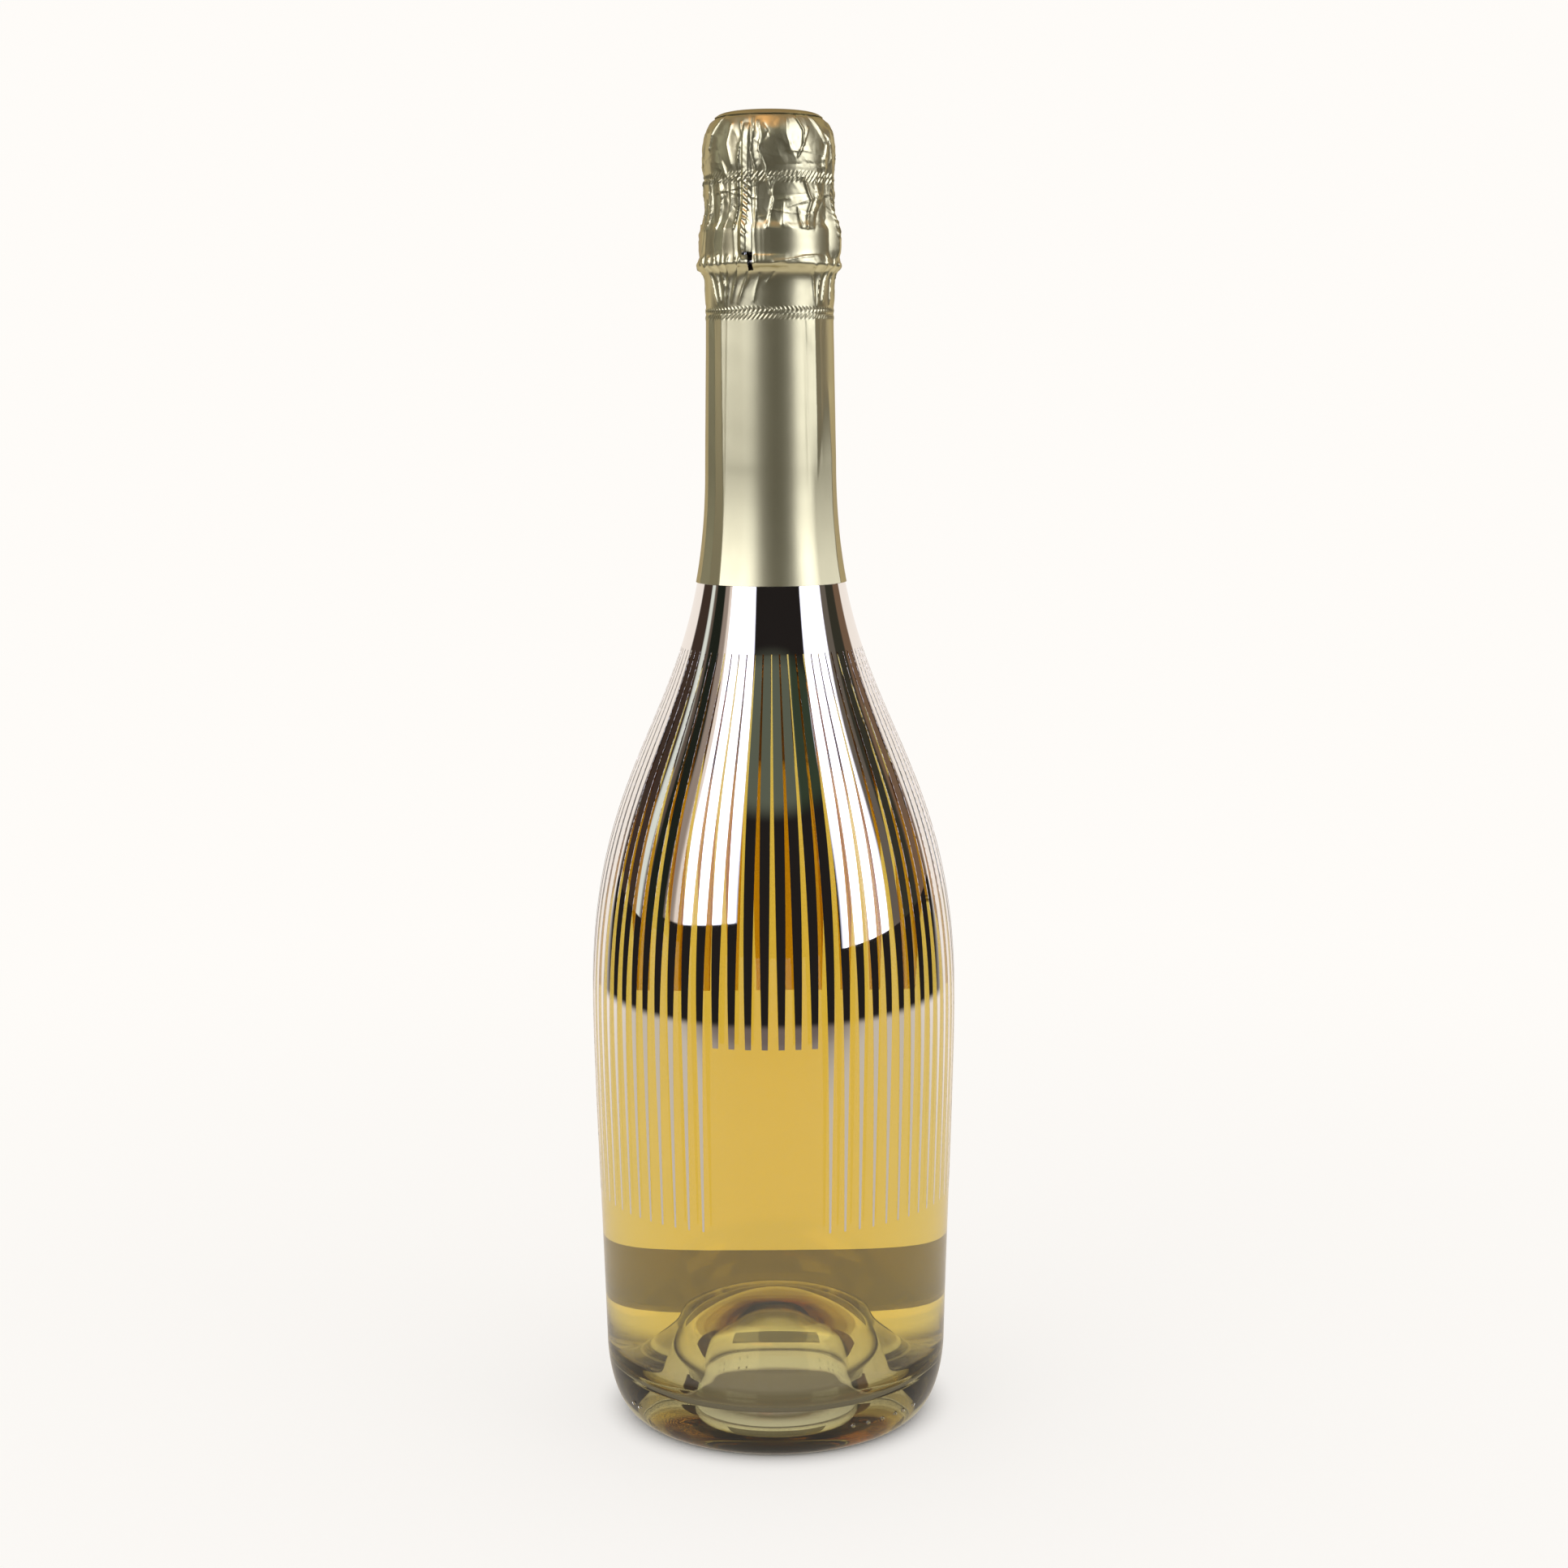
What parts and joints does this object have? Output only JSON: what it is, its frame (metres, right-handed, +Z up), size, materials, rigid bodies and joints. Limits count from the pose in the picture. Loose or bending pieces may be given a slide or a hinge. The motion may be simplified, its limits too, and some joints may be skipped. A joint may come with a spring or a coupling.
{
  "type": "sparkling wine bottle",
  "caption": "Clear sparkling wine bottle with wine, mushroom cork, wire cage with cap plate and twist loop, and a foil capsule with a tear strip and a hood that lift off.",
  "frame": {"origin": "centre of the bottle's base, on the surface it stands on", "axes": "+Z up along the bottle's axis, -Y towards the front"},
  "size_m": [0.0892, 0.0892, 0.3165],
  "materials": {
    "clear_glass": "clear, faintly grey-green in the thick base",
    "wine": "clear pale gold liquid",
    "cork": "agglomerated cork granules",
    "cork_disc": "natural cork",
    "tinplate": "lacquered tinplate",
    "cage_wire": "bright galvanised wire",
    "foil": "satin champagne foil"
  },
  "bodies": {
    "bottle": {"glass_bottle": "clear_glass", "wine": "wine", "foil_sleeve": "foil"},
    "cork": {"cork_body": "cork", "cork_disc_upper": "cork_disc", "cork_disc_lower": "cork_disc"},
    "cage": {"cap_plate": "tinplate", "cage_wire_1": "cage_wire", "cage_wire_2": "cage_wire", "cage_wire_3": "cage_wire", "cage_wire_4": "cage_wire", "cage_belt": "cage_wire"},
    "loop": {"twist_loop": "cage_wire"},
    "strip": {"tear_strip": "foil"},
    "hood": {"foil_hood": "foil", "foil_top_disc": "foil"}
  },
  "joints": [
    {"name": "cork_pull", "type": "slide", "parent": "bottle", "child": "cork", "axis": [0, 0, 1], "range_m": [0, 0.045], "deforming": ["cage_belt", "tear_strip"]},
    {"name": "cage_lift", "type": "slide", "parent": "cork", "child": "cage", "axis": [0, 0, 1], "range_m": [0, 0.045], "deforming": ["cage_belt", "tear_strip"]},
    {"name": "loop_fold", "type": "hinge", "parent": "cage", "child": "loop", "pos_m": [-0.0072, 0.01544, 0.28175], "axis": [-0.9063, -0.4226, 0], "range_deg": [0, 100]},
    {"name": "strip_peel", "type": "slide", "parent": "cage", "child": "strip", "axis": [0, 0, 1], "range_m": [0, 0.05], "deforming": ["tear_strip"]},
    {"name": "hood_lift", "type": "slide", "parent": "strip", "child": "hood", "axis": [0, 0, 1], "range_m": [0, 0.03]}
  ],
  "couplings": [
    {"joint": "loop_fold", "follows": "strip_peel", "rad_per_m": 34.9}
  ]
}
